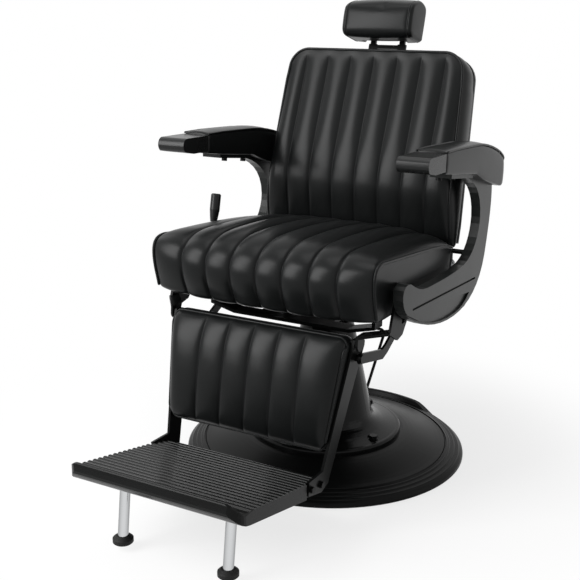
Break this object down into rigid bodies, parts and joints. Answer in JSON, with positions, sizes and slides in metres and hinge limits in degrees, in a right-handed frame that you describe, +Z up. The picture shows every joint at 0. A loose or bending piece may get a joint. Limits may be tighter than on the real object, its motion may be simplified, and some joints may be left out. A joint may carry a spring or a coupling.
{
  "type": "hydraulic barber chair",
  "caption": "Hydraulic barber chair with channelled black leather cushions, cast arm frames, headrest, recline lever, linked leg rest with ribbed foot plate, and round foot pumped base.",
  "frame": {"origin": "on the floor under the axis of the ram, at the centre of the base's floor ring", "axes": "-Y the way the sitter faces, +X the sitter's left, +Z up along the ram"},
  "size_m": [0.7, 1.1, 1.0996],
  "materials": {
    "leather_black": "satin",
    "satin_black": "satin",
    "cast_black": "satin",
    "gloss_black": "gloss",
    "chrome": "polished",
    "steel": "satin",
    "bronze": "satin",
    "rubber_black": "matte",
    "plywood": "matte",
    "cap_black": "gloss"
  },
  "bodies": {
    "base": {"base_plate": "satin_black", "floor_ring": "rubber_black", "pump_cover": "gloss_black", "cover_bolts": "gloss_black", "pump_cylinder": "steel", "gland_bush": "bronze", "wiper_seal": "rubber_black", "pedal_bracket": "gloss_black"},
    "pedal": {"pedal_shaft": "steel", "foot_pedal": "gloss_black"},
    "ram": {"ram": "chrome", "piston": "steel", "piston_ring": "rubber_black", "thrust_bearing": "steel", "spindle_nut": "steel"},
    "seat": {"swivel_hub": "satin_black", "seat_cradle": "satin_black", "seat_side_plates": "satin_black", "seat_cross_members": "satin_black", "seat_board": "plywood", "seat_cushion": "leather_black", "tie_shaft": "chrome", "arm_studs": "chrome", "pivot_shaft": "steel", "arm_frame_left": "cast_black", "arm_frame_right": "cast_black", "arm_pad_left": "leather_black", "arm_pad_right": "leather_black", "arm_cap_left": "cap_black", "arm_cap_right": "cap_black", "arm_pad_bolts": "chrome", "leg_hanger_left": "satin_black", "leg_hanger_right": "satin_black", "leg_pivot_pins": "steel", "lock_cylinder": "steel", "lever_pivot": "steel"},
    "lock_rod": {"lock_rod": "chrome"},
    "lever": {"recline_lever": "satin_black", "lever_grip": "rubber_black"},
    "back": {"back_side_plates": "satin_black", "back_cross_tubes": "satin_black", "back_board": "plywood", "back_shell": "leather_black", "back_cushion": "leather_black", "headrest_guides": "satin_black"},
    "headrest_post": {"headrest_post": "satin_black", "headrest_hinge_pin": "steel"},
    "headrest": {"headrest_carrier": "satin_black", "headrest_pad": "leather_black"},
    "leg_rest": {"leg_bar_left": "satin_black", "leg_bar_right": "satin_black", "leg_stretchers": "satin_black", "leg_board": "plywood", "leg_pad": "leather_black", "foot_plate": "cast_black", "foot_plate_bolts": "gloss_black", "foot_legs": "chrome", "foot_pads": "rubber_black"},
    "push_links": {"push_link_left": "satin_black", "push_link_right": "satin_black"}
  },
  "joints": [
    {"name": "lift", "type": "slide", "parent": "base", "child": "ram", "axis": [0, 0, 1], "range_m": [0, 0.16]},
    {"name": "swivel", "type": "hinge", "parent": "ram", "child": "seat", "pos_m": [0, 0, 0.378], "axis": [0, 0, 1], "continuous": true},
    {"name": "recline", "type": "hinge", "parent": "seat", "child": "back", "pos_m": [0, 0.16, 0.47], "axis": [-1, 0, 0], "range_deg": [0, 50]},
    {"name": "leg_lift", "type": "hinge", "parent": "seat", "child": "leg_rest", "pos_m": [0, -0.32, 0.402], "axis": [-1, 0, 0], "range_deg": [0, 50]},
    {"name": "link_turn", "type": "hinge", "parent": "leg_rest", "child": "push_links", "pos_m": [0, -0.312, 0.368], "axis": [-1, 0, 0], "range_deg": [-50, 0]},
    {"name": "lock_slide", "type": "slide", "parent": "seat", "child": "lock_rod", "axis": [0, -1, 0], "range_m": [0, 0.0457]},
    {"name": "lever_pull", "type": "hinge", "parent": "seat", "child": "lever", "pos_m": [-0.278, -0.085, 0.48], "axis": [-1, 0, 0], "range_deg": [0, 20], "stiffness_Nm_per_rad": 4, "springref_deg": -22.92},
    {"name": "headrest_height", "type": "slide", "parent": "back", "child": "headrest_post", "axis": [0, 0.2756, 0.9613], "range_m": [0, 0.1]},
    {"name": "headrest_tilt", "type": "hinge", "parent": "headrest_post", "child": "headrest", "pos_m": [0, 0.31945, 1.01517], "axis": [-1, 0, 0], "range_deg": [-20, 25]},
    {"name": "pedal_press", "type": "hinge", "parent": "base", "child": "pedal", "pos_m": [0, 0.14, 0.09], "axis": [-1, 0, 0], "range_deg": [0, 38], "stiffness_Nm_per_rad": 6, "springref_deg": -28.65}
  ],
  "couplings": [
    {"joint": "leg_lift", "follows": "recline", "ratio": 1},
    {"joint": "link_turn", "follows": "recline", "ratio": -1},
    {"joint": "lock_slide", "follows": "recline", "m_per_rad": 0.0523}
  ]
}
